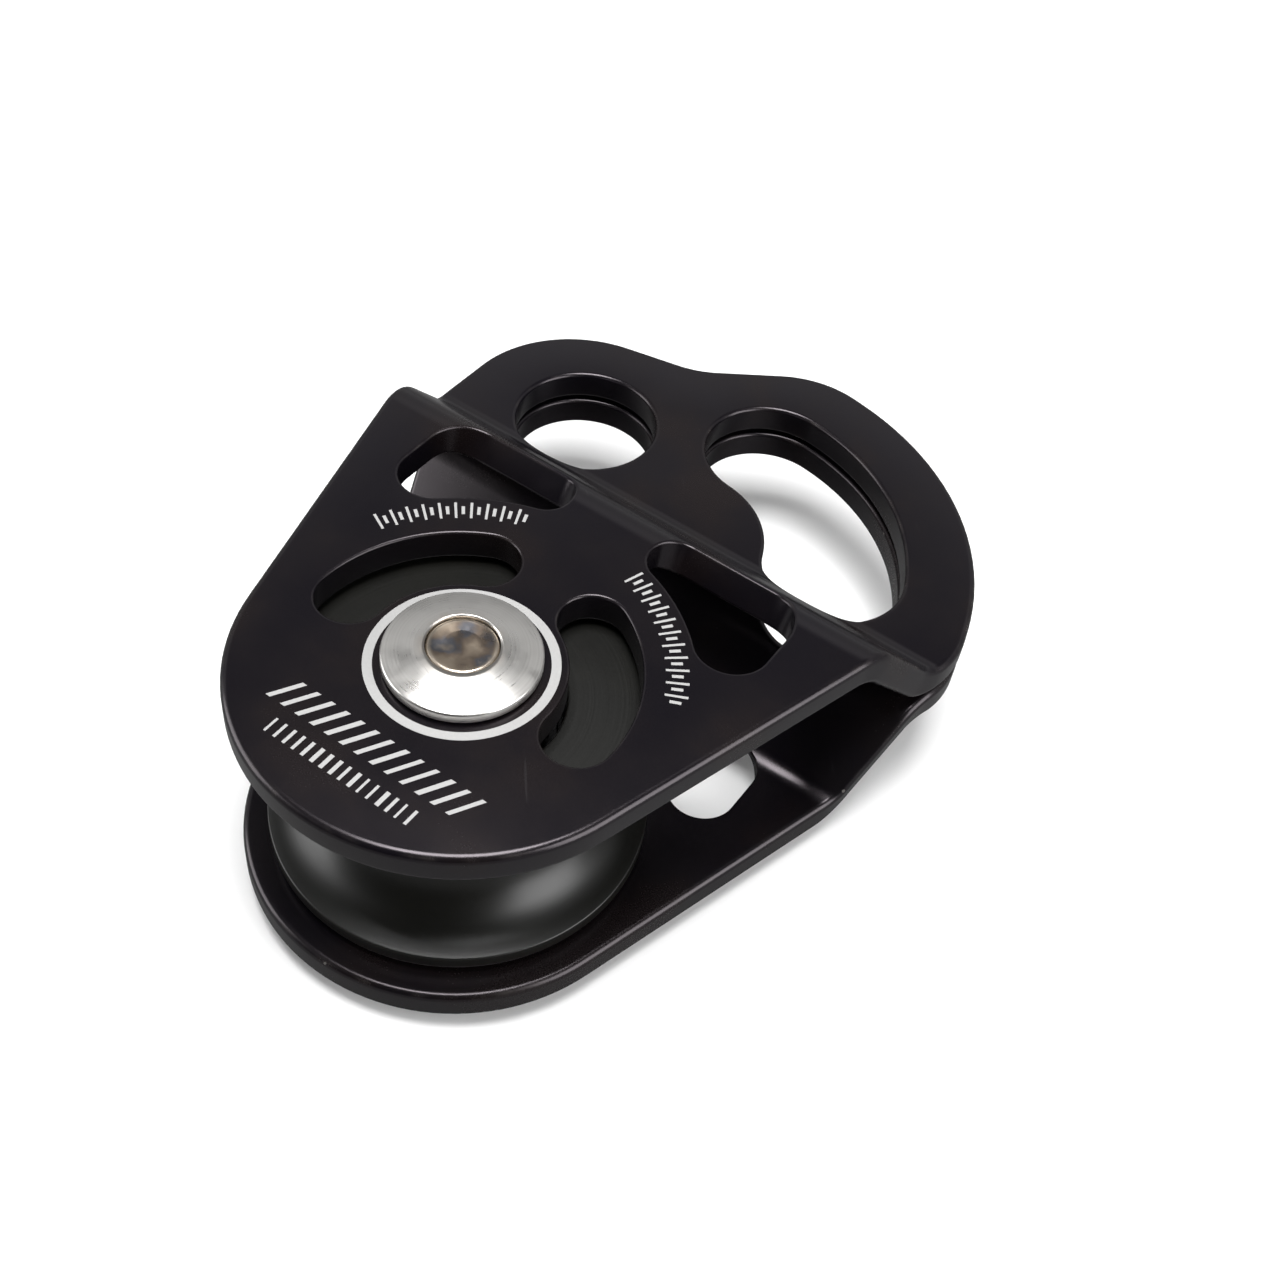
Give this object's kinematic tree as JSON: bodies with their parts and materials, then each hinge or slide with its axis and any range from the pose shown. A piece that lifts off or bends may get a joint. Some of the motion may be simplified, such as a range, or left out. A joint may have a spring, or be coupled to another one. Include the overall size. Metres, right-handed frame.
{
  "type": "single sheave block",
  "caption": "Compact single sheave block: two swing cheeks on a riveted axle, joggled to a head with a round eye and a large curved eye, ball-bearing sheave for 13 mm rope.",
  "frame": {"origin": "on the axle's axis, at the flat lower end of the axle", "axes": "+Z along the axle towards the upper cheek, +Y from the axle towards the head, +X towards the large eye"},
  "size_m": [0.0664, 0.0905, 0.0314],
  "materials": {
    "cheek_anodised": "black hard-anodised plate, satin, with polished broken edges",
    "sheave_anodised": "dark grey hard-anodised, turned",
    "washer_steel": "polished stainless steel",
    "axle_steel": "upset rivet end with heat tint",
    "bearing_steel": "ground bearing steel",
    "bush_bronze": "sintered bronze",
    "acetal": "white acetal",
    "shield_rubber": "black moulded seal"
  },
  "bodies": {
    "lower_side": {"lower_cheek": "cheek_anodised", "lower_bush": "bush_bronze"},
    "axle_set": {"axle": "axle_steel", "lower_dome_washer": "washer_steel", "upper_dome_washer": "washer_steel", "lower_thrust_washer": "acetal", "upper_thrust_washer": "acetal", "lower_spacer": "bearing_steel", "upper_spacer": "bearing_steel", "bearing_inner_ring": "bearing_steel"},
    "upper_side": {"upper_cheek": "cheek_anodised", "upper_bush": "bush_bronze"},
    "sheave_set": {"sheave": "sheave_anodised", "bearing_outer_ring": "bearing_steel", "lower_bearing_shield": "shield_rubber", "upper_bearing_shield": "shield_rubber", "retaining_ring": "bearing_steel"},
    "ball_set": {"bearing_cage": "acetal", "bearing_ball_1": "bearing_steel", "bearing_ball_2": "bearing_steel", "bearing_ball_3": "bearing_steel", "bearing_ball_4": "bearing_steel", "bearing_ball_5": "bearing_steel", "bearing_ball_6": "bearing_steel", "bearing_ball_7": "bearing_steel", "bearing_ball_8": "bearing_steel", "bearing_ball_9": "bearing_steel"}
  },
  "joints": [
    {"name": "axle_turn", "type": "hinge", "parent": "lower_side", "child": "axle_set", "pos_m": [0, 0, 0.0157], "axis": [0, 0, 1], "continuous": true},
    {"name": "upper_cheek_swing", "type": "hinge", "parent": "axle_set", "child": "upper_side", "pos_m": [0, 0, 0.0157], "axis": [0, 0, 1], "continuous": true},
    {"name": "sheave_spin", "type": "hinge", "parent": "axle_set", "child": "sheave_set", "pos_m": [0, 0, 0.0157], "axis": [0, 0, 1], "continuous": true},
    {"name": "cage_spin", "type": "hinge", "parent": "axle_set", "child": "ball_set", "pos_m": [0, 0, 0.0157], "axis": [0, 0, 1], "continuous": true}
  ],
  "couplings": [
    {"joint": "cage_spin", "follows": "sheave_spin", "ratio": 0.6}
  ]
}
